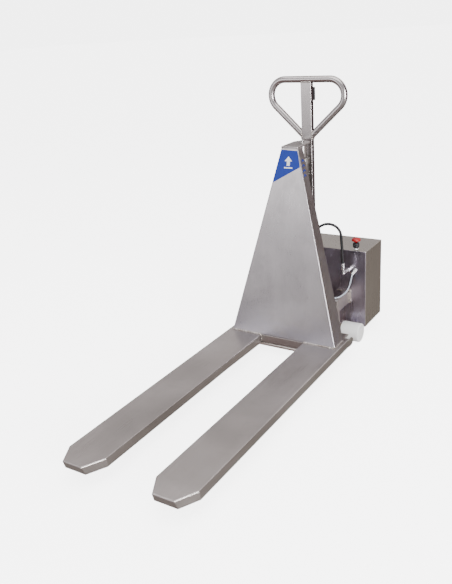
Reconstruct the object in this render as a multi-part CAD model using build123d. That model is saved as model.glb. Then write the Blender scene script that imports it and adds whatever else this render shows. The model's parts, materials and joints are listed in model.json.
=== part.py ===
from build123d import *
import os
from math import tan, radians, sqrt, sin, cos, asin, degrees, pi

os.makedirs("parts", exist_ok=True)

# ---------------------------------------------------------------- driving dimensions (mm)
# Working datum: y = 0 at the foot of the mast plate, forks towards -y, z = 0 on the floor.
W2 = 270.0            # half of the overall fork width
FORK_W = 165.7        # width of one fork
TIP_Y = -1129.45      # fork tips, before the top edge is rounded
TIP_ROUNDED = -1128.0  # fork tips, as finished
HEEL_Y = 111.0        # end of the fork skirts
DECK = 88.0           # top of the lowered forks
SHEET = 5.0           # fork sheet thickness
SKIRT = 52.6          # lower edge of the fork skirts
CHAM_Y, CHAM_X = 76.6, 41.5   # chamfered nose corners
NOSE = 12.5           # setback of the nose's lower edge
LEG = 1100.0          # scissor leg, pivot to pivot
Z0 = 40.0             # chassis pivot and load roller axle height
RISE0 = 26.0          # height of the heel pivot over the chassis pivot, lowered
PIV_Y = 139.0         # chassis pivot and heel pivot, in plan
PIN_R = 8.0           # heel, centre and roller pins
RUN = 0.05            # radial running clearance
TOWER_HW0, TOWER_HW1 = 251.9, 37.9     # mast plate half width at foot and top
TOWER_Y1, TOWER_Z1 = 130.2, 898.5      # mast plate top edge
TOP_Z = 905.0
CYL_Y = 246.0         # lift cylinder axis
STEER_Y = 306.0       # steering axis
POST_W, POST_D = 48.0, 26.0
LOOP_R, LOOP_Z, LOOP_BEND = 14.0, 1154.0, 65.0
BOX_X, BOX_Y0, BOX_Y1, BOX_Z0, BOX_Z1 = 254.0, 340.0, 531.0, 47.0, 411.0
COVER_Y, HEAD_Y = 534.0, 536.0
STAB_Y, STAB_Z, STAB_R = 278.0, 43.6, 43.0
STOP_X, STOP_Y = 200.0, 360.0
ARM_BOLT_X, ARM_BOLT_Z = 180.0, (170.0, 212.0)

DY = -(TIP_ROUNDED + HEAD_Y) / 2    # moves the datum so that the row's origin is the centre of the footprint
THETA0 = asin(RISE0 / LEG)
FAR_Y = PIV_Y - LEG * cos(THETA0)          # load and track roller axles, in plan
O_ = (PIV_Y, Z0)
F_ = (PIV_Y, Z0 + RISE0)
R_ = (FAR_Y, Z0)
T_ = (FAR_Y, Z0 + RISE0)
M_ = ((PIV_Y + FAR_Y) / 2, Z0 + RISE0 / 2)


# ---------------------------------------------------------------- helpers
def bx(x0, x1, y0, y1, z0, z1):
    return Pos((x0 + x1) / 2, (y0 + y1) / 2, (z0 + z1) / 2) * Box(x1 - x0, y1 - y0, z1 - z0)


def cx(r, x0, x1, y, z):
    return Pos((x0 + x1) / 2, y, z) * Rot(0, 90, 0) * Cylinder(r, x1 - x0)


def cy(r, y0, y1, x, z):
    return Pos(x, (y0 + y1) / 2, z) * Rot(90, 0, 0) * Cylinder(r, y1 - y0)


def cz(r, z0, z1, x, y):
    return Pos(x, y, (z0 + z1) / 2) * Cylinder(r, z1 - z0)


def yz(x0, x1, pts):
    """Prism along x over a polygon of (y, z)."""
    return extrude(Plane.YZ.offset(x0) * Polygon(*pts, align=None), amount=x1 - x0, dir=(1, 0, 0))


def xz(y0, y1, pts):
    """Prism along y over a polygon of (x, z)."""
    face = Plane(origin=(0, y0, 0), x_dir=(1, 0, 0), z_dir=(0, -1, 0)) * Polygon(*pts, align=None)
    return extrude(face, amount=y1 - y0, dir=(0, 1, 0))


def xy(z0, z1, pts):
    return extrude(Plane.XY.offset(z0) * Polygon(*pts, align=None), amount=z1 - z0, dir=(0, 0, 1))


def mx(s):
    return mirror(s, about=Plane.YZ)


def solids_of(*shapes):
    out = []
    for s in shapes:
        out += list(s.solids())
    return out


def put(name, *shapes):
    out = [Pos(0, DY, 0) * s for s in solids_of(*shapes)]
    shape = out[0] if len(out) == 1 else Compound(children=out)
    export_step(shape, f"parts/{name}.step")
    print(f"{name:24s} {len(out)} solid(s) {sum(s.volume for s in out) / 1000:10.1f} cm3")


def soften(shape, edges, radius):
    """Rounds the folded edges of a sheet piece, with a smaller radius where the full one has no room."""
    for r in (radius, radius * 0.6, radius * 0.3):
        try:
            s = fillet(edges, r)
            if s.is_valid and abs(s.volume - shape.volume) < 0.05 * shape.volume:
                return s
        except Exception:
            continue
    print("   (edge left sharp)")
    return shape


# ---------------------------------------------------------------- forks
def fork_ring(z, inset):
    """Plan outline of the right fork at height z, moved inwards by inset."""
    f = (DECK - z) / (DECK - SKIRT)
    xi, xo = W2 - FORK_W + inset, W2 - inset
    y_nose = TIP_Y + NOSE * f + inset
    # chamfer line through (W2, TIP_Y + CHAM_Y + 5 f) with direction (-CHAM_X, -CHAM_Y)
    n = sqrt(CHAM_X ** 2 + CHAM_Y ** 2)
    px, py = W2 - inset * CHAM_Y / n, TIP_Y + CHAM_Y + 5.0 * f + inset * CHAM_X / n

    def at_x(x):
        return py + (x - px) * CHAM_Y / CHAM_X

    def at_y(y):
        return px + (y - py) * CHAM_X / CHAM_Y
    mid = W2 - FORK_W / 2
    a, b = (xo, at_x(xo)), (at_y(y_nose), y_nose)
    return [a, b, (2 * mid - b[0], b[1]), (2 * mid - a[0], a[1])]


def nose(z0, z1, inset, y_end):
    lo = fork_ring(z0, inset)
    hi = fork_ring(z1, inset)

    def face(z, ring):
        return Plane.XY.offset(z) * Polygon(*ring, (ring[3][0], y_end), (ring[0][0], y_end), align=None)
    return loft([face(z0, lo), face(z1, hi)], ruled=True)


outer = nose(SKIRT, DECK, 0.0, HEEL_Y)
top_edges = [e for e in outer.edges() if abs(e.center().Z - DECK) < 0.01 and e.center().Y < HEEL_Y - 1]
outer = soften(outer, top_edges, 3.5)
inner = nose(SKIRT - 1.0, DECK - SHEET, SHEET, HEEL_Y + 1)
fork_r = outer - inner
fork_r += bx(212, 248, HEEL_Y - 1, 157, DECK - SHEET, DECK)                    # heel tongue
fork_r -= bx(W2 - FORK_W - 1, W2 + 1, -2.4, -1.2, DECK - 0.6, DECK + 1)        # score line that the mast is set out from
fork_r += bx(W2 - FORK_W + 5, W2 - 5, -700, -694, SKIRT + 24, DECK - 4.9) - bx(110, 232, -701, -693, 0, 82.9)
fork_l = mx(fork_r)


def lug(x0, x1, y0, z_top):
    s = bx(x0, x1, y0, PIV_Y, F_[1] - 16.8, z_top) + cx(16.8, x0, x1, *F_)
    return s - cx(PIN_R, x0 - 1, x1 + 1, *F_)


heel_lugs_r = [lug(264, W2, HEEL_Y, 81.0), lug(222, 232, HEEL_Y, DECK - SHEET)]
heel_pin_r = cx(PIN_R, 156.5, W2, *F_)

# ---------------------------------------------------------------- mast
REAR_EDGE = [(88, 84), (215, 107), (310, 114), (400, 123), (480, 130), (561, 142), (653, 149), (889, 171), (TOP_Z, 172)]


def front_y(z):
    return TOWER_Y1 * (z - DECK) / (TOWER_Z1 - DECK)


def hw(z):
    return TOWER_HW0 + (TOWER_HW1 - TOWER_HW0) * (z - DECK) / (TOWER_Z1 - DECK)


MAST_T = 4.0
tx = MAST_T * 1.034                       # flange thickness measured along x
ty = MAST_T * 1.013                       # plate thickness measured along y
z1 = TOP_Z - 6.0
trap = xz(-5, 300, [(-hw(DECK), DECK), (hw(DECK), DECK), (hw(z1), z1), (-hw(z1), z1)])
trap_in = xz(-6, 301, [(-hw(DECK - 5) + tx, DECK - 5), (hw(DECK - 5) - tx, DECK - 5),
                       (hw(z1 + 5) - tx, z1 + 5), (-hw(z1 + 5) + tx, z1 + 5)])
side = yz(-300, 300, [(front_y(DECK), DECK), (front_y(z1), z1)] + [(y, min(z, z1)) for z, y in reversed(REAR_EDGE)])
strip = yz(-300, 300, [(front_y(DECK), DECK), (front_y(DECK) + ty, DECK), (front_y(z1) + ty, z1), (front_y(z1), z1)])
mast = (trap & side) - (trap_in - strip)
fold = [e for e in mast.edges() if e.length > 700 and e.center().Y < front_y(e.center().Z) + 1]
mast = soften(mast, fold, 3.8)
top_plate = bx(-38.5, 38.5, front_y(z1) - 0.2, 270, z1, TOP_Z)
corners = [e for e in top_plate.edges() if abs(e.center().Y - 270) < 0.01 and abs(e.length - 6) < 0.01]
top_plate = fillet(corners, 30)
top_plate = soften(top_plate, [e for e in top_plate.edges() if abs(e.center().Z - TOP_Z) < 0.01 and e.center().Y < 140], 4.5)
top_plate -= cz(6.5, z1 - 1, TOP_Z + 1, 0, CYL_Y)
cross_plate = bx(-(W2 - FORK_W), W2 - FORK_W, 0, 6, 53, DECK)
cross_back = bx(-(W2 - FORK_W), W2 - FORK_W, 70, 105, 53, DECK) - bx(-(W2 - FORK_W) - 1, W2 - FORK_W + 1, 74, 101, 57, 84)
cross_deck = bx(-(W2 - FORK_W), W2 - FORK_W, 6, 70, DECK - SHEET, DECK)
heel_cross = cross_plate + cross_back + cross_deck

# ---------------------------------------------------------------- lift cylinder
tube_z0, tube_z1, gland_z1 = 112.0, 815.0, 838.0
cylinder = cz(28, tube_z0, tube_z1, 0, CYL_Y) - cz(23, tube_z0 + 14, tube_z1 + 1, 0, CYL_Y)
gland = cz(33, tube_z1, gland_z1, 0, CYL_Y) - cz(20 + RUN, tube_z1 - 1, gland_z1 + 1, 0, CYL_Y)
gland = soften(gland, [e for e in gland.edges() if abs(e.center().Z - gland_z1) < 0.01 and e.length > 180], 3)
ram = cz(20, 130, z1, 0, CYL_Y) - cz(6, z1 - 26, z1 + 1, 0, CYL_Y)
ram_screw = cz(6, z1 - 24, TOP_Z, 0, CYL_Y) + cz(10, TOP_Z, TOP_Z + 5, 0, CYL_Y) - extrude(
    Plane.XY.offset(TOP_Z + 2) * Pos(0, CYL_Y) * RegularPolygon(4.6, 6), amount=5)

# ---------------------------------------------------------------- scissor legs
def leg(x0, x1, a, b, ra, rm, rb):
    m = ((a[0] + b[0]) / 2, (a[1] + b[1]) / 2)
    s = yz(x0, x1, [(a[0], a[1] - ra), (a[0], a[1] + ra), (m[0] + 40, m[1] + rm), (m[0] - 40, m[1] + rm),
                    (b[0], b[1] + rb), (b[0], b[1] - rb), (m[0] - 40, m[1] - rm), (m[0] + 40, m[1] - rm)])
    return s + cx(ra, x0, x1, *a) + cx(rb, x0, x1, *b)


inner_leg_r = leg(130, 142, O_, T_, 20, 22, 14) - cx(10 + RUN, 129, 143, *O_) - cx(PIN_R, 129, 143, *M_) \
    - cx(PIN_R, 129, 143, *T_)
CROSS_TUBE = (22.0, 36.0)
inner_leg_r -= cx(11, 129, 143, *CROSS_TUBE)
inner_tube = cx(11, -142, 142, *CROSS_TUBE) - cx(8, -143, 143, *CROSS_TUBE)
centre_pin_r = cx(PIN_R, 130, 221, *M_) + cx(12, 142, 157.6, *M_)
track_pin_r = cx(PIN_R, 112.2, 142, *T_)

outer_leg_r = leg(158, 164, F_, R_, 13, 22, 18) + leg(212, 218, F_, R_, 13, 22, 18)
for yb in (-130.0, -640.0, -850.0):
    zb = F_[1] + (R_[1] - F_[1]) * (F_[0] - yb) / LEG
    outer_leg_r += bx(163.9, 212.1, yb - 15, yb + 15, zb - 10, zb + 10)
outer_leg_r -= cx(PIN_R + RUN, 157, 219, *F_)
outer_leg_r -= cx(PIN_R + RUN, 157, 219, *M_)
outer_leg_r -= cx(PIN_R, 157, 219, *R_)
load_axle_r = cx(PIN_R, 158, 218, *R_)
load_roller_r = cx(Z0, 166.4, 209.6, *R_) - cx(PIN_R + RUN, 166, 210, *R_)
load_roller_r = soften(load_roller_r, [e for e in load_roller_r.edges() if e.length > 200 and abs(e.center().X - 188) > 20], 3)
track_roller_r = cx(16.5, 113, 128, *T_) - cx(PIN_R + RUN, 112, 129, *T_)

# ---------------------------------------------------------------- chassis
rail_r = bx(146, 154, PIV_Y, 328, 22, 70) + yz(146, 154, [(PIV_Y, 22), (PIV_Y, 60), (150, 70), (PIV_Y + 20, 22)]) \
    + cx(18, 146, 154, PIV_Y, Z0)
rail_r -= cx(10, 145, 155, *O_)
rail_r -= cx(10, 145, 155, STAB_Y, STAB_Z)
rail_r -= bx(145, 155, PIV_Y - 30, 150, 62, 80)
pivot_lug_r = bx(116, 126, PIV_Y, 190, 22, 58) + cx(18, 116, 126, *O_) - cx(10, 115, 127, *O_)
cross_beam = bx(-146, 146, 190, 228, 22, 70) - bx(-147, 147, 194, 224, 26, 66)
portal = bx(142, 182, 185, 213, 70, 222) + bx(-182, -142, 185, 213, 70, 222) + bx(-142, 142, 185, 213, 162, 222)
portal -= bx(146, 178, 189, 209, 69, 218) + bx(-178, -146, 189, 209, 69, 218) + bx(-143, 143, 189, 209, 166, 218)
upright_foot_r = bx(154, 182, 185, 213, 64, 70)
portal += bx(154, 182, 185, 213, 66, 70) + bx(-182, -154, 185, 213, 66, 70)


def head(z0, z1_):
    p = bx(-48, 48, 213, 318, z0, z1_) + cz(34, z0, z1_, 0, STEER_Y - 8)
    p = p - bx(-60, -38, 300, 340, z0 - 1, z1_ + 1) - bx(38, 60, 300, 340, z0 - 1, z1_ + 1)
    p = p - bx(-60, 60, 332, 345, z0 - 1, z1_ + 1)
    return p - cz(28, z0 - 1, z1_ + 1, 0, CYL_Y) - cz(23, z0 - 1, z1_ + 1, 0, STEER_Y)


head_lo, head_hi = head(162, 170), head(214, 222)
steer_bush = cz(23, 162, 222, 0, STEER_Y) + cz(27, 222, 231.7, 0, STEER_Y) - cz(20 + RUN, 161, 233, 0, STEER_Y)
seat = bx(-48, 48, 190, 280, 104, 112) + bx(-48, -40, 190, 228, 70, 104) + bx(40, 48, 190, 228, 70, 104)

gusset = xy(216, 222, [(167, 285), (167, 340), (124, 340), (124, 285)]) - cz(38, 215, 223, 124, 285)
arm_r = bx(167, 174, 213, 340, 157, 222) + bx(174, 186, 335, 340, 157, 224)
for zb in ARM_BOLT_Z:
    arm_r -= cy(3.2, 333, 341, ARM_BOLT_X, zb)
arm_r = arm_r + gusset

pivot_pin_r = cx(10, 116, 154, *O_)
stab_axle_r = cx(10, 146, 249, STAB_Y, STAB_Z) + cx(16, 154, 170.6, STAB_Y, STAB_Z)
stab_roller_r = cx(STAB_R, 171, 257, STAB_Y, STAB_Z) - cx(10 + RUN, 170, 249.5, STAB_Y, STAB_Z)
stab_roller_r = soften(stab_roller_r, [e for e in stab_roller_r.edges() if e.length > 260 and abs(e.center().X - 214) > 40], 4)
stab_roller_r -= (cx(31, 255.6, 258, STAB_Y, STAB_Z) - cx(28.5, 255, 258.5, STAB_Y, STAB_Z))

# ---------------------------------------------------------------- power box
shell = bx(-BOX_X, BOX_X, BOX_Y0, BOX_Y1, BOX_Z0, BOX_Z1)
shell = soften(shell, [e for e in shell.edges() if (abs(e.center().Y - BOX_Y0) < 0.01 and abs(e.center().Z - BOX_Z1) < 0.01)
                       or (abs(abs(e.center().X) - BOX_X) < 0.01 and abs(e.center().Z - BOX_Z1) < 0.01)
                       or (abs(abs(e.center().X) - BOX_X) < 0.01 and abs(e.center().Y - BOX_Y0) < 0.01)], 2.6)
shell -= bx(-BOX_X + 3, BOX_X - 3, BOX_Y0 + 3, BOX_Y1 + 1, BOX_Z0 + 3, BOX_Z1 - 3)
shell += bx(-83, 83, BOX_Y0, 388, BOX_Z0, 113)
shell -= bx(-80, 80, BOX_Y0 - 1, 385, BOX_Z0 - 1, 110)
shell -= cz(9, BOX_Z1 - 4, BOX_Z1 + 1, STOP_X, STOP_Y)
PORT = (189.0, 340.0, 333.0)
GLAND = (205.0, 340.0, 319.0)
shell -= cy(7, BOX_Y0 - 1, BOX_Y0 + 4, PORT[0], PORT[2])
shell -= cy(5, BOX_Y0 - 1, BOX_Y0 + 4, GLAND[0], GLAND[2])
for xb in (-ARM_BOLT_X, ARM_BOLT_X):
    for zb in ARM_BOLT_Z:
        shell -= cy(3.2, BOX_Y0 - 1, BOX_Y0 + 4, xb, zb)
flange_w = 14.0
rim = (bx(-BOX_X + 3, BOX_X - 3, BOX_Y1 - 3, BOX_Y1, BOX_Z0 + 3, BOX_Z1 - 3)
       - bx(-BOX_X + 3 + flange_w, BOX_X - 3 - flange_w, BOX_Y1 - 4, BOX_Y1 + 1, BOX_Z0 + 3 + flange_w, BOX_Z1 - 3 - flange_w))
shell += rim
cover = bx(-BOX_X, BOX_X, BOX_Y1, COVER_Y, BOX_Z0, BOX_Z1)
SCREWS = [(x, z) for x in (-244.0, 0.0, 244.0) for z in (57.0, 399.0)] + [(-244.0, 228.0), (244.0, 228.0)]
screws = []
for x, z in SCREWS:
    cover -= cy(2.5, BOX_Y1 - 1, COVER_Y + 1, x, z)
    shell -= cy(2.5, BOX_Y1 - 4, BOX_Y1 + 1, x, z)
    screws.append(cy(2.5, BOX_Y1 - 8, COVER_Y, x, z) + cy(5, COVER_Y, HEAD_Y, x, z)
                  - extrude(Plane(origin=(x, HEAD_Y + 1, z), x_dir=(1, 0, 0), z_dir=(0, -1, 0)) * RegularPolygon(2.4, 6), amount=2.2))
bolts = []
for xb in (-ARM_BOLT_X, ARM_BOLT_X):
    for zb in ARM_BOLT_Z:
        bolts.append(cy(3.2, 335, 352, xb, zb)
                     + extrude(Plane(origin=(xb, 335, zb), x_dir=(1, 0, 0), z_dir=(0, -1, 0)) * RegularPolygon(5.4, 6), amount=3.5))
battery = bx(-236, -12, 394, 524, BOX_Z0 + 3, 262) + bx(-205, -190, 440, 455, 262, 272) + bx(-58, -43, 440, 455, 262, 272)
valve_block = bx(176, 226, 420, 500, BOX_Z0 + 3, 168)
pump_motor = cx(52, 16, 176, 460, 108)
pump_motor += bx(40, 150, 440, 480, BOX_Z0 + 3, 70)
oil_tank = bx(20, 226, 400, 520, 168, 296) - bx(23, 223, 403, 517, 171, 293)
control = bx(-150, -40, BOX_Y0 + 3, 380, 286, 386)

# ---------------------------------------------------------------- emergency stop
stop_ring = cz(12, BOX_Z1, 420, STOP_X, STOP_Y) - cz(9, BOX_Z1 - 1, 421, STOP_X, STOP_Y)
stop_collar = cz(9, BOX_Z1 - 32, 420, STOP_X, STOP_Y) + cz(14.8, 420, 444, STOP_X, STOP_Y)
stop_collar -= cz(6 + RUN, 418, 445, STOP_X, STOP_Y)
stop_cap = cz(20, 451, 466, STOP_X, STOP_Y) + cz(6, 426, 452, STOP_X, STOP_Y)
stop_cap = soften(stop_cap, [e for e in stop_cap.edges() if e.length > 100 and e.center().Z > 465], 6)

# ---------------------------------------------------------------- hoses and fittings
ELBOW = (175.5, 273.0, 323.0)
FERRULE_TOP = (173.0, 272.0, 370.0)


def rod(a, b, r, sides=0):
    va, vb = Vector(*a), Vector(*b)
    pl = Plane(origin=va, z_dir=vb - va)
    prof = RegularPolygon(r, sides) if sides else Circle(r)
    return extrude(pl * prof, amount=(vb - va).length)


def along(a, b, t):
    va, vb = Vector(*a), Vector(*b)
    v = va + (vb - va).normalized() * t
    return (v.X, v.Y, v.Z)


P0 = (PORT[0], PORT[1], PORT[2])
port_dir_a = P0
fitting = cy(7, 334, 352, PORT[0], PORT[2]) + cy(9.5, 331, 340, PORT[0], PORT[2]) \
    + rod((PORT[0], 333, PORT[2]), ELBOW, 6.2) + Pos(*ELBOW) * Sphere(7.2) \
    + rod(along((PORT[0], 333, PORT[2]), ELBOW, 14), along((PORT[0], 333, PORT[2]), ELBOW, 34), 10.4, 6) \
    + rod(ELBOW, along(ELBOW, FERRULE_TOP, 16), 6.2)
ferrule_a = rod(along(ELBOW, FERRULE_TOP, 16), FERRULE_TOP, 7.4)
HOSE = [(173.0, 272.0, 370.0), (171.5, 271.5, 420.0), (169.0, 268.5, 471.0), (170.2, 259.8, 518.0),
        (149.5, 251.3, 547.4), (116.4, 238.7, 557.9), (83.8, 226.9, 545.2), (63.7, 222.5, 514.4),
        (62.5, 228.5, 479.0), (54.0, 240.0, 439.0), (50.0, 246.0, 398.0)]
TUBE_END = (38.1, 222.0, 268.0)
RETURN = [(197.0, 322.0, 304.0), (195.5, 314.0, 287.0), (196.0, 301.0, 268.0), (197.0, 281.0, 252.0), (194.0, 252.0, 239.5),
          (184.0, 220.0, 231.5), (163.0, 199.0, 228.0), (134.0, 192.0, 231.0), (101.0, 196.0, 241.0),
          (70.0, 206.0, 253.0), (46.5, 216.0, 265.0)]
HOSE_R, TUBE_R = 6.0, 3.0


def hose(name, pts, r):
    radii = []
    for a, b, c in zip(pts, pts[1:], pts[2:]):
        u, w = Vector(*b) - Vector(*a), Vector(*c) - Vector(*b)
        turn = u.get_angle(w)
        radii.append(0.45 * min(u.length, w.length) / tan(radians(turn / 2)))
    path = FilletPolyline(*pts, radius=radii)
    s = sweep(Plane(origin=path @ 0, z_dir=path % 0) * Circle(r), path=path)
    length = path.length if hasattr(path, "length") else sum(e.length for e in path.edges())
    print(f"{name}: length {length:.1f} mm, radii {[round(v) for v in radii]}, "
          f"volume / (section x length) {s.volume / (pi * r * r * length):.4f}")
    return s


pressure_hose = hose("hydraulic_hose", HOSE, HOSE_R)
return_tube = hose("return_tube", RETURN, TUBE_R)
ferrule_b = rod(HOSE[-1], along(HOSE[-1], (50.0, 246.0, 340.0), 30), 7.4)
fb_end = along(HOSE[-1], (50.0, 246.0, 340.0), 30)
port_fitting = rod(fb_end, (50.0, 246.0, 340.0), 6.2) + Pos(50, CYL_Y, 340) * Sphere(7.5) \
    + cx(6.2, 30, 50, CYL_Y, 340) + rod((34.0, CYL_Y, 340.0), (44.0, CYL_Y, 340.0), 11, 6) + cx(13, 26, 34, CYL_Y, 340)
port_fitting -= cz(28, 300, 380, 0, CYL_Y)
gland_fit = cy(5, 332, 350, GLAND[0], GLAND[2]) + cy(7.2, 333, 340, GLAND[0], GLAND[2]) \
    + rod((GLAND[0], 336.0, GLAND[2]), RETURN[0], 6.0) + Pos(GLAND[0], 333, GLAND[2]) * Sphere(6.5)
barb_in = (22.0, CYL_Y - 13.6, 266.5)
barb = rod(barb_in, RETURN[-1], 5.0)
barb -= cz(28, 240, 290, 0, CYL_Y)

# ---------------------------------------------------------------- steering and handle
stem = cz(20, 100, 232, 0, STEER_Y) + cz(29, 232, 240, 0, STEER_Y) + bx(-20, 20, STEER_Y - 18, STEER_Y + 18, 30, 100.5)
stem -= cx(9, -21, 21, STEER_Y, 50)
steer_axle = cx(9, -55.5, 55.5, STEER_Y, 50)
steer_axle += cx(13, 52.4, 55.5, STEER_Y, 50) + cx(13, -55.5, -52.4, STEER_Y, 50)
steer_wheel_r = cx(50, 24, 52, STEER_Y, 50) - cx(9 + RUN, 23, 53, STEER_Y, 50)
steer_wheel_r = soften(steer_wheel_r, [e for e in steer_wheel_r.edges() if e.length > 290], 4)

ZP = 1145.3
post = bx(-POST_W / 2, POST_W / 2, STEER_Y - POST_D / 2, STEER_Y + POST_D / 2, 240, ZP)
post = soften(post, [e for e in post.edges() if e.length > 800], 3.0)
post -= bx(-POST_W / 2 + 3, POST_W / 2 - 3, STEER_Y - POST_D / 2 + 3, STEER_Y + POST_D / 2 - 3, 243, ZP + 5)
post -= cx(LOOP_R, -60, 60, STEER_Y, LOOP_Z)
SL = 0.682 / 0.731
Z_LEG0 = 922.7 - 21.0 * SL
CORNER_X = (LOOP_Z - Z_LEG0) / SL
loop_path = FilletPolyline((2.0, STEER_Y, Z_LEG0 + 2.0 * SL), (CORNER_X, STEER_Y, LOOP_Z), (-CORNER_X, STEER_Y, LOOP_Z),
                           (-2.0, STEER_Y, Z_LEG0 + 2.0 * SL), radius=LOOP_BEND)
loop = sweep(Plane(origin=loop_path @ 0, z_dir=loop_path % 0) * Circle(LOOP_R), path=loop_path)
loop -= bx(-POST_W / 2, POST_W / 2, STEER_Y - 20, STEER_Y + 20, 860, 1000)
BUTTON_Z = (1079.0, 1105.0)
housing = bx(-20, 20, STEER_Y + POST_D / 2, 347, 1065, 1119)
housing = soften(housing, [e for e in housing.edges() if e.center().Y > 346.9], 3)
for zb in BUTTON_Z:
    housing -= cy(8.3, 335, 348, 0, zb)
lift_button = cy(8, 338.6, 351, 0, BUTTON_Z[1])
lower_button = cy(8, 338.6, 351, 0, BUTTON_Z[0])
lift_button = soften(lift_button, [e for e in lift_button.edges() if e.center().Y > 350.9], 1.2)
lower_button = soften(lower_button, [e for e in lower_button.edges() if e.center().Y > 350.9], 1.2)

# ---------------------------------------------------------------- write every piece
put("side_rails", rail_r, mx(rail_r), pivot_lug_r, mx(pivot_lug_r))
put("rear_cross_beam", cross_beam)
put("portal_frame", portal)
put("head_plates", head_lo, head_hi)
put("box_arms", arm_r, mx(arm_r))
put("cylinder_seat", seat)
put("leg_pivot_pins", pivot_pin_r, mx(pivot_pin_r))
put("steering_bush", steer_bush)
put("hydraulic_cylinder", cylinder)
put("cylinder_gland", gland)
put("cylinder_port_fitting", port_fitting)
put("stabiliser_axles", stab_axle_r, mx(stab_axle_r))
put("power_box", shell)
put("rear_cover", cover)
put("cover_screws", *screws)
put("arm_bolts", *bolts)
put("battery_pack", battery)
put("pump_motor", pump_motor)
put("valve_block", valve_block)
put("oil_tank", oil_tank)
put("control_module", control)
put("hose_elbow", fitting)
put("hose_ferrules", ferrule_a, ferrule_b)
put("hydraulic_hose", pressure_hose)
put("tube_fittings", gland_fit, barb)
put("return_tube", return_tube)
put("stop_ring", stop_ring)
put("stop_collar", stop_collar)
put("stop_button", stop_cap)
put("inner_leg_right", inner_leg_r)
put("inner_leg_left", mx(inner_leg_r))
put("inner_cross_tube", inner_tube)
put("inner_leg_pins", centre_pin_r, mx(centre_pin_r), track_pin_r, mx(track_pin_r))
put("outer_leg_right", outer_leg_r)
put("outer_leg_left", mx(outer_leg_r))
put("load_roller_axles", load_axle_r, mx(load_axle_r))
put("fork_right", fork_r)
put("fork_left", fork_l)
put("heel_lugs", *heel_lugs_r, *[mx(s) for s in heel_lugs_r])
put("heel_pins", heel_pin_r, mx(heel_pin_r))
put("heel_crossmember", heel_cross)
put("mast_shell", mast)
put("mast_top_plate", top_plate)
put("lift_ram", ram)
put("ram_screw", ram_screw)
put("load_roller_right", load_roller_r)
put("load_roller_left", mx(load_roller_r))
put("track_roller_right", track_roller_r)
put("track_roller_left", mx(track_roller_r))
put("steering_stem", stem)
put("steer_axle", steer_axle)
put("steer_wheel_right", steer_wheel_r)
put("steer_wheel_left", mx(steer_wheel_r))
put("handle_post", post)
put("handle_loop", loop)
put("switch_housing", housing)
put("lift_button", lift_button)
put("lower_button", lower_button)
put("stabiliser_roller_right", stab_roller_r)
put("stabiliser_roller_left", mx(stab_roller_r))

print("theta0", degrees(THETA0), "far axle y", FAR_Y + DY, "pivot y", PIV_Y + DY, "centre", M_[0] + DY, M_[1], "DY", DY)
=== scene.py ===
import json
import math
import random

import bmesh
import bpy
from mathutils import Matrix, Vector


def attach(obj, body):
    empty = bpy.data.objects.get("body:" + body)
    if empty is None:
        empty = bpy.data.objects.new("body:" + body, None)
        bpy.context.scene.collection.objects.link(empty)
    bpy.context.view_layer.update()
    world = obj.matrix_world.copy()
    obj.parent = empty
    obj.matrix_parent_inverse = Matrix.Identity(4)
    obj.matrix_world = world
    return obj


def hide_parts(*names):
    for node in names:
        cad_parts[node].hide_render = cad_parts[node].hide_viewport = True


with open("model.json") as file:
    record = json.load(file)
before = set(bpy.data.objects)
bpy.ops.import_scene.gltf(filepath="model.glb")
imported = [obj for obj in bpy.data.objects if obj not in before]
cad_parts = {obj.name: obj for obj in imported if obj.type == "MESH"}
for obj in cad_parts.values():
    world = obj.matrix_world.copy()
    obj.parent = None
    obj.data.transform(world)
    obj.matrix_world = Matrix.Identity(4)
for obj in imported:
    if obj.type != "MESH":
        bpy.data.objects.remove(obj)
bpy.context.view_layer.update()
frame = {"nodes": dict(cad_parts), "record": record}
N = frame["nodes"]
DY = 0.296                      # datum of the model: y of the mast's foot


def P(x, y, z):
    """Point given in millimetres from the mast's foot, as metres in the row frame."""
    return Vector((x / 1000, y / 1000 + DY, z / 1000))


# ------------------------------------------------------------------ camera
az, el, roll = math.radians(33.45), math.radians(21.55), math.radians(-4.06)
back = Vector((math.sin(az) * math.cos(el), -math.cos(az) * math.cos(el), math.sin(el)))
right = (-back).cross(Vector((0, 0, 1))).normalized()
up = right.cross(-back)
rr = right * math.cos(roll) + up * math.sin(roll)
uu = -right * math.sin(roll) + up * math.cos(roll)
cam_data = bpy.data.cameras.new("camera")
cam_data.sensor_fit = "VERTICAL"
cam_data.sensor_height = 36.0
cam_data.sensor_width = 36.0
cam_data.lens = 697.86 * 36.0 / 584.0
cam_data.clip_end = 100
cam = bpy.data.objects.new("camera", cam_data)
bpy.context.scene.collection.objects.link(cam)
loc = P(1339.04, -2446.03, 1422.85)
cam.matrix_world = Matrix(((rr.x, uu.x, back.x, loc.x), (rr.y, uu.y, back.y, loc.y), (rr.z, uu.z, back.z, loc.z), (0, 0, 0, 1)))
bpy.context.scene.camera = cam


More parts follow.
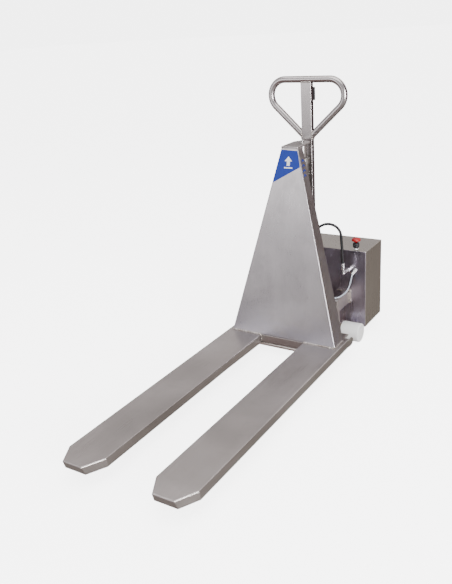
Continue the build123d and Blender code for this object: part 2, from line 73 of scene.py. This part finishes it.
# ------------------------------------------------------------------ material helpers
class Graph:
    def __init__(self, name):
        self.m = bpy.data.materials.new(name)
        self.m.use_nodes = True
        self.t = self.m.node_tree
        self.bsdf = [n for n in self.t.nodes if n.type == "BSDF_PRINCIPLED"][0]
        self.out = [n for n in self.t.nodes if n.type == "OUTPUT_MATERIAL"][0]

    def n(self, kind, **kw):
        node = self.t.nodes.new(kind)
        for k, v in kw.items():
            setattr(node, k, v)
        return node

    def link(self, a, b):
        self.t.links.new(a, b)

    def coords(self, scale=(1, 1, 1), rot=(0, 0, 0)):
        tc = self.n("ShaderNodeTexCoord")
        mp = self.n("ShaderNodeMapping")
        mp.inputs["Scale"].default_value = scale
        mp.inputs["Rotation"].default_value = rot
        self.link(tc.outputs["Object"], mp.inputs["Vector"])
        return mp.outputs["Vector"]

    def noise(self, vec, scale=1.0, detail=4.0, rough=0.55, dist=0.0):
        nz = self.n("ShaderNodeTexNoise")
        nz.inputs["Scale"].default_value = scale
        nz.inputs["Detail"].default_value = detail
        nz.inputs["Roughness"].default_value = rough
        nz.inputs["Distortion"].default_value = dist
        self.link(vec, nz.inputs["Vector"])
        return nz.outputs["Fac"]

    def ramp(self, fac, lo, hi, a, b):
        r = self.n("ShaderNodeMapRange")
        r.inputs["From Min"].default_value = lo
        r.inputs["From Max"].default_value = hi
        r.inputs["To Min"].default_value = a
        r.inputs["To Max"].default_value = b
        self.link(fac, r.inputs["Value"])
        return r.outputs["Result"]

    def math(self, op, a, b):
        m = self.n("ShaderNodeMath", operation=op)
        for i, v in enumerate((a, b)):
            if isinstance(v, (int, float)):
                m.inputs[i].default_value = v
            else:
                self.link(v, m.inputs[i])
        return m.outputs[0]

    def mix(self, fac, a, b, blend="MIX"):
        m = self.n("ShaderNodeMix", data_type="RGBA", blend_type=blend)
        if isinstance(fac, (int, float)):
            m.inputs[0].default_value = fac
        else:
            self.link(fac, m.inputs[0])
        for i, v in ((6, a), (7, b)):
            if isinstance(v, tuple):
                m.inputs[i].default_value = (*v, 1) if len(v) == 3 else v
            else:
                self.link(v, m.inputs[i])
        return m.outputs[2]

    def bump(self, height, strength, distance, edge=0.0):
        b = self.n("ShaderNodeBump")
        if edge:                    # burnished folds: the normal rolls over within this distance of an edge
            bv = self.n("ShaderNodeBevel", samples=6)
            bv.inputs["Radius"].default_value = edge
            self.link(bv.outputs["Normal"], b.inputs["Normal"])
        b.inputs["Strength"].default_value = strength
        b.inputs["Distance"].default_value = distance
        self.link(height, b.inputs["Height"])
        self.link(b.outputs["Normal"], self.bsdf.inputs["Normal"])


def steel(name, light, dark, rough=0.34, grain=(700, 6, 700), cloud=5.0, spread=0.5, bump=0.10, smudge=0.35, metallic=1.0, edge=0.0, drift=0.0, painted_facing_shade=(), foot=None):
    """Brushed stainless: fine streaks along the short grain axis, broad cloudy mill marks, faint smears."""
    g = Graph(name)
    fine = g.noise(g.coords(grain), 1.0, 3.0, 0.6)
    broad = g.noise(g.coords(tuple(s * 0.09 for s in grain)), 1.0, 3.0, 0.6)
    clouds = g.noise(g.coords((1, 1, 1)), cloud, 4.0, 0.6, 0.4)
    smear = g.noise(g.coords((1.0, 1.0, 0.6), (0.3, 0.2, 0.4)), cloud * 3.1, 5.0, 0.65, 1.2)
    a = g.ramp(clouds, 0.32, 0.68, 0.0, 1.0)
    b = g.ramp(broad, 0.3, 0.7, -0.5, 0.5)
    f = g.ramp(fine, 0.25, 0.75, -0.5, 0.5)
    t = g.math("ADD", g.math("MULTIPLY", a, 1.0 - spread * 0.5), g.math("MULTIPLY", b, spread * 0.45))
    t = g.math("ADD", t, g.math("MULTIPLY", f, spread * 0.5))
    cl = g.n("ShaderNodeClamp")
    g.link(t, cl.inputs["Value"])
    col = g.mix(cl.outputs[0], dark, light)
    sm = g.ramp(smear, 0.52, 0.72, 0.0, smudge)
    col = g.mix(sm, col, tuple(c * 0.86 for c in dark))
    if drift:                       # slow change of tone along the sheet
        slow = g.noise(g.coords((1.0, 1.0, 1.0), (0.2, 0.1, 0.3)), 1.7, 2.0, 0.5, 0.3)
        col = g.mix(g.ramp(slow, 0.42, 0.62, 0.0, drift), col, tuple(c * 0.66 for c in dark))
    if foot:                        # heat and handling marks low on the sheet
        sepo = g.n("ShaderNodeSeparateXYZ")
        g.link(g.coords(), sepo.inputs[0])
        low = g.ramp(sepo.outputs["Z"], 0.27, 0.10, 0.0, 0.8)
        patch = g.noise(g.coords((1.0, 1.0, 1.6), (0.5, 0.1, 0.2)), 6.0, 3.0, 0.55, 0.8)
        col = g.mix(g.math("MULTIPLY", low, g.ramp(patch, 0.36, 0.60, 0.2, 1.0)), col, foot)
    if painted_facing_shade:                       # painted light and shade: faces turned a given way (by their normal) get another colour, standing in for how light falls on that side
        geo = g.n("ShaderNodeNewGeometry")
        sep = g.n("ShaderNodeSeparateXYZ")
        g.link(geo.outputs["Normal"], sep.inputs[0])
        for axis, lo, hi, tone in painted_facing_shade:
            col = g.mix(g.ramp(sep.outputs[axis], lo, hi, 0.0, 1.0), col, tone)
    g.link(col, g.bsdf.inputs["Base Color"])
    r = g.math("ADD", g.ramp(fine, 0.25, 0.75, -0.06, 0.06), g.ramp(clouds, 0.3, 0.7, -0.05, 0.05))
    r = g.math("ADD", r, g.math("MULTIPLY", sm, 0.10))
    g.link(g.math("ADD", r, rough), g.bsdf.inputs["Roughness"])
    g.bsdf.inputs["Metallic"].default_value = metallic
    g.bump(g.math("ADD", g.math("MULTIPLY", fine, 0.7), g.math("MULTIPLY", broad, 0.3)), bump, 0.0004, edge)
    return g.m


def plastic(name, color, rough=0.4, speck=0.06, scale=220.0, bump=0.12, dist=0.0003, coat=0.0, grime=0.12, sss=0.0):
    g = Graph(name)
    fine = g.noise(g.coords(), scale, 3.0, 0.6)
    broad = g.noise(g.coords(), 14.0, 4.0, 0.6, 0.6)
    c2 = tuple(max(0.0, c * (1 - speck * 2.2)) for c in color)
    col = g.mix(g.ramp(fine, 0.3, 0.7, 0.0, 1.0), color, c2)
    dirt = tuple(c * 0.80 for c in color)
    col = g.mix(g.ramp(broad, 0.52, 0.78, 0.0, grime), col, dirt)
    g.link(col, g.bsdf.inputs["Base Color"])
    g.link(g.math("ADD", g.ramp(broad, 0.3, 0.7, -0.06, 0.06), rough), g.bsdf.inputs["Roughness"])
    g.bsdf.inputs["Coat Weight"].default_value = coat
    if sss:
        g.bsdf.inputs["Subsurface Weight"].default_value = sss
        g.bsdf.inputs["Subsurface Radius"].default_value = (0.01, 0.01, 0.009)
    g.bump(fine, bump, dist)
    return g.m


M = {
    "fork_steel": steel("fork_steel", (0.57, 0.535, 0.525), (0.46, 0.43, 0.415), 0.34, (260, 5, 260), 3.2, 0.45, 0.05, edge=0.005, drift=0.55),
    # mast_steel: painted shade, up-facing faces (the top plate) are given a darker colour
    "mast_steel": steel("mast_steel", (0.57, 0.54, 0.55), (0.42, 0.395, 0.405), 0.31, (240, 240, 7), 3.6, 0.5, 0.04, edge=0.006, drift=0.30,
                        painted_facing_shade=(("Z", 0.7, 0.95, (0.28, 0.26, 0.255)),), foot=(0.47, 0.455, 0.52)),
    # box_steel: painted light, front-facing (-Y) faces are given a lighter purplish colour to make up for the box front
    # lying in shade
    "box_steel": steel("box_steel", (0.45, 0.425, 0.385), (0.38, 0.355, 0.32), 0.30, (90, 90, 4), 3.0, 0.3, 0.012, edge=0.005, painted_facing_shade=(("Y", -0.6, -0.9, (0.44, 0.40, 0.47)),)),
    "frame_steel": steel("frame_steel", (0.80, 0.735, 0.70), (0.60, 0.55, 0.52), 0.40, (120, 10, 120), 9.0, 0.4, 0.06, edge=0.003),
    # handle_steel: painted shade, the top, the right (+X) side and the underside are given darker colours
    "handle_steel": steel("handle_steel", (0.60, 0.565, 0.565), (0.49, 0.46, 0.455), 0.26, (8, 8, 8), 5.0, 0.35, 0.01, 0.2,
                          painted_facing_shade=(("Z", 0.45, 0.90, (0.33, 0.30, 0.285)), ("X", 0.62, 0.90, (0.16, 0.125, 0.145)), ("Z", -0.3, -0.8, (0.26, 0.22, 0.22)))),
    "pin_steel": steel("pin_steel", (0.60, 0.59, 0.59), (0.46, 0.45, 0.45), 0.26, (30, 600, 600), 30.0, 0.4, 0.05),
    "fitting_steel": steel("fitting_steel", (0.92, 0.91, 0.92), (0.78, 0.77, 0.78), 0.24, (30, 30, 30), 30.0, 0.3, 0.01, edge=0.001),
    # ram_chrome: base colour kept dark, painted shade for the shadow under the mast's top plate
    "ram_chrome": steel("ram_chrome", (0.42, 0.40, 0.40), (0.34, 0.32, 0.32), 0.16, (30, 30, 900), 10.0, 0.3, 0.03, 0.1),
    "cylinder_steel": steel("cylinder_steel", (0.38, 0.365, 0.355), (0.28, 0.27, 0.26), 0.33, (260, 260, 20), 10.0, 0.5, 0.08),
    "nylon_white": plastic("nylon_white", (0.97, 0.965, 0.965), 0.42, 0.02, 160.0, 0.08, 0.0004, 0.0, 0.10, 0.15),
    "hose_rubber": plastic("hose_rubber", (0.013, 0.013, 0.015), 0.55, 0.2, 900.0, 0.25, 0.0003, 0.0, 0.2),
    "tube_plastic": plastic("tube_plastic", (0.47, 0.53, 0.60), 0.22, 0.03, 400.0, 0.03, 0.0002, 0.3),
    "gland_plastic": plastic("gland_plastic", (0.84, 0.84, 0.82), 0.36, 0.03, 300.0, 0.08, 0.0002),
    "black_plastic": plastic("black_plastic", (0.022, 0.022, 0.026), 0.45, 0.2, 700.0, 0.2, 0.0003),
    "red_plastic": plastic("red_plastic", (0.40, 0.004, 0.006), 0.36, 0.05, 500.0, 0.05, 0.0002, 0.1),
    "green_plastic": plastic("green_plastic", (0.05, 0.32, 0.09), 0.28, 0.05, 500.0, 0.05, 0.0002, 0.3),
    "battery_case": plastic("battery_case", (0.06, 0.065, 0.07), 0.5, 0.15, 500.0, 0.2, 0.0003),
    "motor_paint": plastic("motor_paint", (0.03, 0.03, 0.034), 0.35, 0.15, 300.0, 0.15, 0.0003, 0.2),
    "tank_plastic": plastic("tank_plastic", (0.66, 0.64, 0.55), 0.45, 0.04, 200.0, 0.1, 0.0003),
    "block_alu": steel("block_alu", (0.74, 0.74, 0.75), (0.60, 0.60, 0.61), 0.30, (300, 20, 300), 12.0, 0.4, 0.08),
    "bronze": steel("bronze", (0.60, 0.42, 0.20), (0.45, 0.30, 0.13), 0.35, (300, 300, 300), 40.0, 0.4, 0.08),
}
weld_metal = steel("weld_metal", (0.62, 0.60, 0.58), (0.36, 0.32, 0.29), 0.26, (500, 500, 500), 45.0, 0.7, 0.25, 0.5)
label_blue = plastic("label_blue", (0.005, 0.030, 0.29), 0.55, 0.05, 300.0, 0.04, 0.0002, 0.0, 0.10)
label_white = plastic("label_white", (0.88, 0.88, 0.88), 0.35, 0.02, 300.0, 0.04, 0.0002, 0.2, 0.05)

slots = {s["node"]: s["material_slot"] for s in frame["record"].get("subparts", [])}
for name, obj in N.items():
    mat = M[slots[name]]
    obj.data.materials.clear()
    obj.data.materials.append(mat)
    for p in obj.data.polygons:
        p.material_index = 0


# ------------------------------------------------------------------ mesh helpers
def add(name, mesh, mat, body):
    obj = bpy.data.objects.new(name, mesh)
    bpy.context.scene.collection.objects.link(obj)
    if not mesh.materials:
        mesh.materials.append(mat)
    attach(obj, body)
    return obj


def lathe(name, profile, origin, axis, mat, body, segs=72, ripple=None):
    """Turned piece: profile is (radius, height) in mm along axis from origin."""
    z = Vector(axis).normalized()
    x = z.orthogonal().normalized()
    y = z.cross(x)
    bm = bmesh.new()
    rings = []
    for i, (r, h) in enumerate(profile):
        ring = []
        for k in range(segs):
            a = 2 * math.pi * k / segs
            rad = r * (1 + (ripple(i, k, segs) if ripple else 0))
            ring.append(bm.verts.new(Vector(origin) + (x * math.cos(a) + y * math.sin(a)) * rad / 1000 + z * h / 1000))
        rings.append(ring)
    for r0, r1 in zip(rings, rings[1:]):
        for k in range(segs):
            bm.faces.new((r0[k], r0[(k + 1) % segs], r1[(k + 1) % segs], r1[k]))
    bm.faces.new(list(reversed(rings[0])))
    bm.faces.new(rings[-1])
    bmesh.ops.recalc_face_normals(bm, faces=bm.faces)
    me = bpy.data.meshes.new(name)
    bm.to_mesh(me)
    bm.free()
    for p in me.polygons:
        p.use_smooth = len(p.vertices) == 4
    return add(name, me, mat, body)


def weld(name, a, b, width, height, normal, body, seed, pitch=3.4, wander=0.5):
    """A fillet weld bead from a to b (mm points): overlapping ripples of uneven size."""
    rnd = random.Random(seed)
    a, b = P(*a), P(*b)
    d = b - a
    length = d.length
    t = d.normalized()
    nrm = Vector(normal).normalized()
    side = t.cross(nrm).normalized()
    steps = max(8, int(length * 1000 / 0.8))
    count = max(2, int(length * 1000 / pitch))
    sizes = [1 + rnd.uniform(-0.22, 0.22) for _ in range(count + 2)]
    shift = [rnd.uniform(-wander, wander) for _ in range(count + 2)]
    bm = bmesh.new()
    rings = []
    sides = 12
    for i in range(steps + 1):
        u = i / steps
        s = u * count
        k = int(min(s, count - 1))
        fr = s - k
        size = sizes[k] * (1 - fr) + sizes[k + 1] * fr
        off = shift[k] * (1 - fr) + shift[k + 1] * fr
        rip = 0.84 + 0.16 * math.sqrt(max(0.0, 1 - (fr * 1.0) ** 2))
        taper = min(1.0, 0.45 + min(u, 1 - u) * length * 1000 / 3.0)
        c = a + d * u + side * off / 1000
        ring = []
        for j in range(sides):
            th = 2 * math.pi * j / sides
            ring.append(bm.verts.new(c + side * math.cos(th) * width / 2000 * size * taper
                                     + nrm * math.sin(th) * height / 1000 * size * rip * taper))
        rings.append(ring)
    for r0, r1 in zip(rings, rings[1:]):
        for j in range(sides):
            bm.faces.new((r0[j], r0[(j + 1) % sides], r1[(j + 1) % sides], r1[j]))
    bm.faces.new(list(reversed(rings[0])))
    bm.faces.new(rings[-1])
    bmesh.ops.recalc_face_normals(bm, faces=bm.faces)
    me = bpy.data.meshes.new(name)
    bm.to_mesh(me)
    bm.free()
    for p in me.polygons:
        p.use_smooth = True
    return add(name, me, weld_metal, body)


# ------------------------------------------------------------------ hoses
def hose(name, pts, radius, mat):
    cu = bpy.data.curves.new(name, "CURVE")
    cu.dimensions = "3D"
    sp = cu.splines.new("NURBS")
    sp.points.add(len(pts) - 1)
    for p, q in zip(sp.points, pts):
        v = P(*q)
        p.co = (v.x, v.y, v.z, 1)
    sp.order_u = 3
    sp.use_endpoint_u = True
    cu.resolution_u = 16
    cu.bevel_depth = radius
    cu.bevel_resolution = 6
    cu.use_fill_caps = True
    cu.materials.append(mat)
    ob = bpy.data.objects.new(name, cu)
    bpy.context.scene.collection.objects.link(ob)
    return ob


HOSE = [(173.0, 272.0, 370.0), (171.5, 271.5, 420.0), (169.0, 268.5, 471.0), (170.2, 259.8, 518.0),
        (149.5, 251.3, 547.4), (116.4, 238.7, 557.9), (83.8, 226.9, 545.2), (63.7, 222.5, 514.4),
        (62.5, 228.5, 479.0), (54.0, 240.0, 439.0), (50.0, 246.0, 398.0)]
RETURN = [(197.0, 322.0, 304.0), (195.5, 314.0, 287.0), (196.0, 301.0, 268.0), (197.0, 281.0, 252.0), (194.0, 252.0, 239.5),
          (184.0, 220.0, 231.5), (163.0, 199.0, 228.0), (134.0, 192.0, 231.0), (101.0, 196.0, 241.0),
          (70.0, 206.0, 253.0), (46.5, 216.0, 265.0)]
pressure = hose("pressure_hose", HOSE, 0.006, M["hose_rubber"])
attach(pressure, "chassis")
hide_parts("hydraulic_hose")
drip = hose("drip_tube", RETURN, 0.003, M["tube_plastic"])
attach(drip, "chassis")
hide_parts("return_tube")

# crimped ferrules on the hose
for tag, a, b in (("a", (175.5, 273.0, 323.0), (173.0, 272.0, 370.0)), ("b", (50.0, 246.0, 340.0), (50.0, 246.0, 398.0))):
    d = (P(*b) - P(*a)).normalized()
    start = P(*b) - d * 0.028
    prof = [(6.3, 0), (7.2, 0.4), (7.4, 1.2), (7.4, 4.6), (6.9, 5.0), (6.9, 7.4), (7.4, 7.8), (7.4, 10.4), (6.9, 10.8), (6.9, 13.2),
            (7.4, 13.6), (7.4, 16.2), (6.9, 16.6), (6.9, 19.0), (7.4, 19.4), (7.4, 25.4), (7.2, 26.8), (6.8, 27.6), (6.1, 27.9)]
    f = lathe("ferrule_" + tag, prof, start, d, M["fitting_steel"], "chassis", 48,
              lambda i, k, n: -0.05 * (1 if (k * 8 // n + (k * 16 // n)) % 2 and 3 < i < 14 else 0))
    if tag == "a":
        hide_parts("hose_ferrules")

# ------------------------------------------------------------------ emergency stop
sx, sy, sz = 200.0, 360.0, 411.0
cap = lathe("stop_mushroom", [(6.0, -24), (6.0, 1.2), (9.0, 0.6), (12.0, 0.2), (16.5, 0.2), (19.0, 1.0), (20.0, 2.6), (20.1, 5.0), (19.6, 7.4),
                              (18.4, 9.6), (16.2, 11.8), (13.0, 13.4), (9.0, 14.5), (4.6, 15.0), (1.0, 15.2)],
            P(sx, sy, 451.0), (0, 0, 1), M["red_plastic"], "emergency_stop", 96,
            lambda i, k, n: (0.012 * (1 if (k * 24 // n) % 2 else 0)) if i in (6, 7, 8) else 0)
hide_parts("stop_button")
collar = lathe("stop_collar_ribbed", [(9.0, -40), (9.0, 0.0), (11.0, 0.1), (12.6, 1.4), (14.2, 5.4), (14.8, 6.6), (14.8, 8.4), (13.8, 9.2), (13.8, 10.8), (14.7, 11.6), (14.8, 18.0),
                                      (13.6, 20.6), (11.6, 23.0), (10.2, 24.0), (6.6, 24.0), (6.2, 8.0)],
               P(sx, sy, 420.0), (0, 0, 1), M["black_plastic"], "chassis", 96,
               lambda i, k, n: (-0.05 * (1 if (k * 48 // n) % 2 else 0)) if i in (9, 10) else 0)
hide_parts("stop_collar")
ring = lathe("stop_base_ring", [(12.0, 0.0), (12.0, 3.4), (11.6, 3.8), (10.4, 4.0), (10.4, 8.8), (9.2, 9.0)],
             P(sx, sy, sz), (0, 0, 1), M["fitting_steel"], "chassis", 72)
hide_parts("stop_ring")

# ------------------------------------------------------------------ weld beads
weld("weld_foot_right", (104, -1.0, 89), (251.5, -1.0, 89), 9.0, 4.4, (0, -0.6, 1), "fork_frame", 3)
weld("weld_foot_left", (-104, -1.0, 89), (-251.5, -1.0, 89), 9.0, 4.4, (0, -0.6, 1), "fork_frame", 5)
weld("weld_flange_right", (252.8, 0, 89), (252.8, 83, 89), 8.5, 4.2, (0.6, 0, 1), "fork_frame", 7)
weld("weld_flange_left", (-252.8, 0, 89), (-252.8, 83, 89), 8.5, 4.2, (-0.6, 0, 1), "fork_frame", 9)
weld("weld_cross_right", (104.3, -1.0, 55), (104.3, -1.0, 87), 6.0, 3.0, (-1, -1, 0), "fork_frame", 11)
weld("weld_cross_left", (-104.3, -1.0, 55), (-104.3, -1.0, 87), 6.0, 3.0, (1, -1, 0), "fork_frame", 13)
for s in (1, -1):
    tag = "right" if s > 0 else "left"
    weld("weld_loop_upper_" + tag, (24.4 * s, 296, 942), (24.4 * s, 316, 942), 5.5, 2.6, (s, 0, 1), "steering", 21 + s)
    weld("weld_loop_front_" + tag, (24.6 * s, 293.5, 906), (24.6 * s, 293.5, 940), 5.0, 2.4, (s, -1, 0), "steering", 25 + s)
    weld("weld_loop_rear_" + tag, (24.6 * s, 318.5, 906), (24.6 * s, 318.5, 940), 5.0, 2.4, (s, 1, 0), "steering", 29 + s)
weld("weld_post_top", (-23, 292.8, 1143.4), (23, 292.8, 1143.4), 5.0, 2.4, (0, -1, 0), "steering", 33)


# ------------------------------------------------------------------ label: plain blue sticker with a generic lift arrow
def sticker(name, outline, mat, body, lift, thick=0.25):
    """Thin closed panel lying on the mast's sloping front plate. outline is (x, z) in mm."""
    slope = 130.2 / (898.5 - 88.0)
    n = Vector((0, -1, slope)).normalized()

    def at(x, z, h):
        return P(x, (z - 88.0) * slope, z) + n * h / 1000
    bm = bmesh.new()
    top = [bm.verts.new(at(x, z, lift + thick)) for x, z in outline]
    bot = [bm.verts.new(at(x, z, lift)) for x, z in outline]
    bm.faces.new(top)
    bm.faces.new(list(reversed(bot)))
    for i in range(len(outline)):
        j = (i + 1) % len(outline)
        bm.faces.new((top[i], bot[i], bot[j], top[j]))
    bmesh.ops.recalc_face_normals(bm, faces=bm.faces)
    me = bpy.data.meshes.new(name)
    bm.to_mesh(me)
    bm.free()
    return add(name, me, mat, body)


sticker("label_panel", [(-38.0, 892), (38.0, 888.5), (51.5, 824), (-73.5, 755)], label_blue, "fork_frame", 0.15)
sticker("label_arrow", [(-9, 828), (-9, 846), (-19, 846), (-2, 866), (15, 846), (5, 846), (5, 828)], label_white, "fork_frame", 0.45)
sticker("label_bar", [(-21, 817), (-21, 822), (17, 822), (17, 817)], label_white, "fork_frame", 0.45)



def side_sticker(name, outline, mat, body, lift, thick=0.25):
    """Thin closed panel lying on the mast's right flange. outline is (y, z) in mm."""
    n = Vector((810.5, 0, 214.0)).normalized()

    def at(y, z, h):
        return P(251.9 - 214.0 * (z - 88.0) / 810.5, y, z) + n * h / 1000
    bm = bmesh.new()
    top = [bm.verts.new(at(y, z, lift + thick)) for y, z in outline]
    bot = [bm.verts.new(at(y, z, lift)) for y, z in outline]
    bm.faces.new(top)
    bm.faces.new(list(reversed(bot)))
    for i in range(len(outline)):
        j = (i + 1) % len(outline)
        bm.faces.new((top[i], bot[i], bot[j], top[j]))
    bmesh.ops.recalc_face_normals(bm, faces=bm.faces)
    me = bpy.data.meshes.new(name)
    bm.to_mesh(me)
    bm.free()
    return add(name, me, mat, body)


# a column of plain blue lift chevrons on the flange
for i in range(4):
    zc = 846.0 - i * 19.5
    yc = 146.0 - i * 4.3
    side_sticker("flange_chevron_%d" % i, [(yc - 10.5, zc - 6), (yc, zc + 1), (yc + 10.5, zc - 6), (yc + 10.5, zc), (yc, zc + 7), (yc - 10.5, zc)],
                 label_blue, "fork_frame", 0.15)

# ------------------------------------------------------------------ floor, light, world
bm = bmesh.new()
for c in ((-45, -45), (45, -45), (45, 45), (-45, 45)):
    bm.verts.new((c[0], c[1], 0))
bm.faces.new(bm.verts)
me = bpy.data.meshes.new("floor")
bm.to_mesh(me)
bm.free()
floor = bpy.data.objects.new("floor", me)
bpy.context.scene.collection.objects.link(floor)
floor.visible_glossy = False
fg = Graph("pale_floor")
fn = fg.noise(fg.coords(), 3.0, 3.0)
fg.link(fg.mix(fn, (0.99, 0.99, 0.99), (0.975, 0.975, 0.975)), fg.bsdf.inputs["Base Color"])
fg.bsdf.inputs["Roughness"].default_value = 0.95
fg.bsdf.inputs["Specular IOR Level"].default_value = 0.1
fg.bsdf.inputs["Emission Color"].default_value = (1, 1, 1, 1)
fg.bsdf.inputs["Emission Strength"].default_value = 4.6
floor.visible_diffuse = False
me.materials.append(fg.m)


def area(name, where, target, size, power, color=(1, 1, 1)):
    li = bpy.data.lights.new(name, "AREA")
    li.shape = "RECTANGLE"
    li.size, li.size_y = size
    li.energy = power
    li.color = color
    ob = bpy.data.objects.new(name, li)
    bpy.context.scene.collection.objects.link(ob)
    ob.location = where
    d = Vector(target) - Vector(where)
    ob.rotation_euler = d.to_track_quat("-Z", "Y").to_euler()
    return ob


area("top", (0.2, -0.4, 4.6), (0, -0.1, 0.0), (4.5, 4.5), 190)
area("edge_strip", (4.0, -2.0, 1.0), (0.1, 0.1, 0.45), (1.6, 2.0), 280)
area("front", (-2.4, -4.2, 1.6), (0, 0, 0.5), (2.4, 1.8), 34)

# world: what the steel mirrors.  Bright to the front and left, brown and dark to the right rear and low down.
world = bpy.data.worlds.new("studio")
bpy.context.scene.world = world
world.use_nodes = True
wt = world.node_tree
bg = [n for n in wt.nodes if n.type == "BACKGROUND"][0]
wout = [n for n in wt.nodes if n.type == "OUTPUT_WORLD"][0]
tc = wt.nodes.new("ShaderNodeTexCoord")
nrm = wt.nodes.new("ShaderNodeVectorMath")
nrm.operation = "NORMALIZE"
wt.links.new(tc.outputs["Generated"], nrm.inputs[0])


def lobe(direction, lo, hi):
    """1 near the direction, 0 away from it."""
    d = wt.nodes.new("ShaderNodeVectorMath")
    d.operation = "DOT_PRODUCT"
    v = Vector(direction).normalized()
    d.inputs[1].default_value = (v.x, v.y, v.z)
    wt.links.new(nrm.outputs[0], d.inputs[0])
    r = wt.nodes.new("ShaderNodeMapRange")
    r.interpolation_type = "SMOOTHSTEP"
    r.inputs["From Min"].default_value = lo
    r.inputs["From Max"].default_value = hi
    wt.links.new(d.outputs["Value"], r.inputs["Value"])
    return r.outputs["Result"]


def blend(fac, a, color):
    m = wt.nodes.new("ShaderNodeMix")
    m.data_type = "RGBA"
    wt.links.new(fac, m.inputs[0])
    if isinstance(a, tuple):
        m.inputs[6].default_value = (*a, 1)
    else:
        wt.links.new(a, m.inputs[6])
    m.inputs[7].default_value = (*color, 1)
    return m.outputs[2]


sky = (0.62, 0.61, 0.62)
col = blend(lobe((-0.45, 0.80, 0.38), 0.30, 0.97), sky, (0.80, 0.75, 0.75))
col = blend(lobe((-0.50, -0.86, 0.0), 0.20, 0.90), col, (0.74, 0.72, 0.74))
col = blend(lobe((0.66, 0.75, -0.06), 0.40, 0.84), col, (0.215, 0.175, 0.165))
col = blend(lobe((0.0, 0.0, -1.0), 0.10, 0.75), col, (0.40, 0.37, 0.35))
col = blend(lobe((0.93, 0.15, -0.33), 0.84, 0.97), col, (1.05, 0.97, 0.92))
col = blend(lobe((-0.32, -0.66, -0.68), 0.80, 0.95), col, (0.27, 0.185, 0.175))
col = blend(lobe((0.40, 0.80, -0.45), 0.93, 0.985), col, (0.42, 0.375, 0.34))
col = blend(lobe((0.36, 0.82, 0.44), 0.93, 0.985), col, (2.4, 2.3, 2.25))
wt.links.new(col, bg.inputs["Color"])
bg.inputs["Strength"].default_value = 1.0
white = wt.nodes.new("ShaderNodeBackground")
white.inputs["Color"].default_value = (1.0, 1.0, 1.0, 1)
white.inputs["Strength"].default_value = 5.0
lp = wt.nodes.new("ShaderNodeLightPath")
wm = wt.nodes.new("ShaderNodeMixShader")
wt.links.new(lp.outputs["Is Camera Ray"], wm.inputs[0])
wt.links.new(bg.outputs[0], wm.inputs[1])
wt.links.new(white.outputs[0], wm.inputs[2])
wt.links.new(wm.outputs[0], wout.inputs["Surface"])
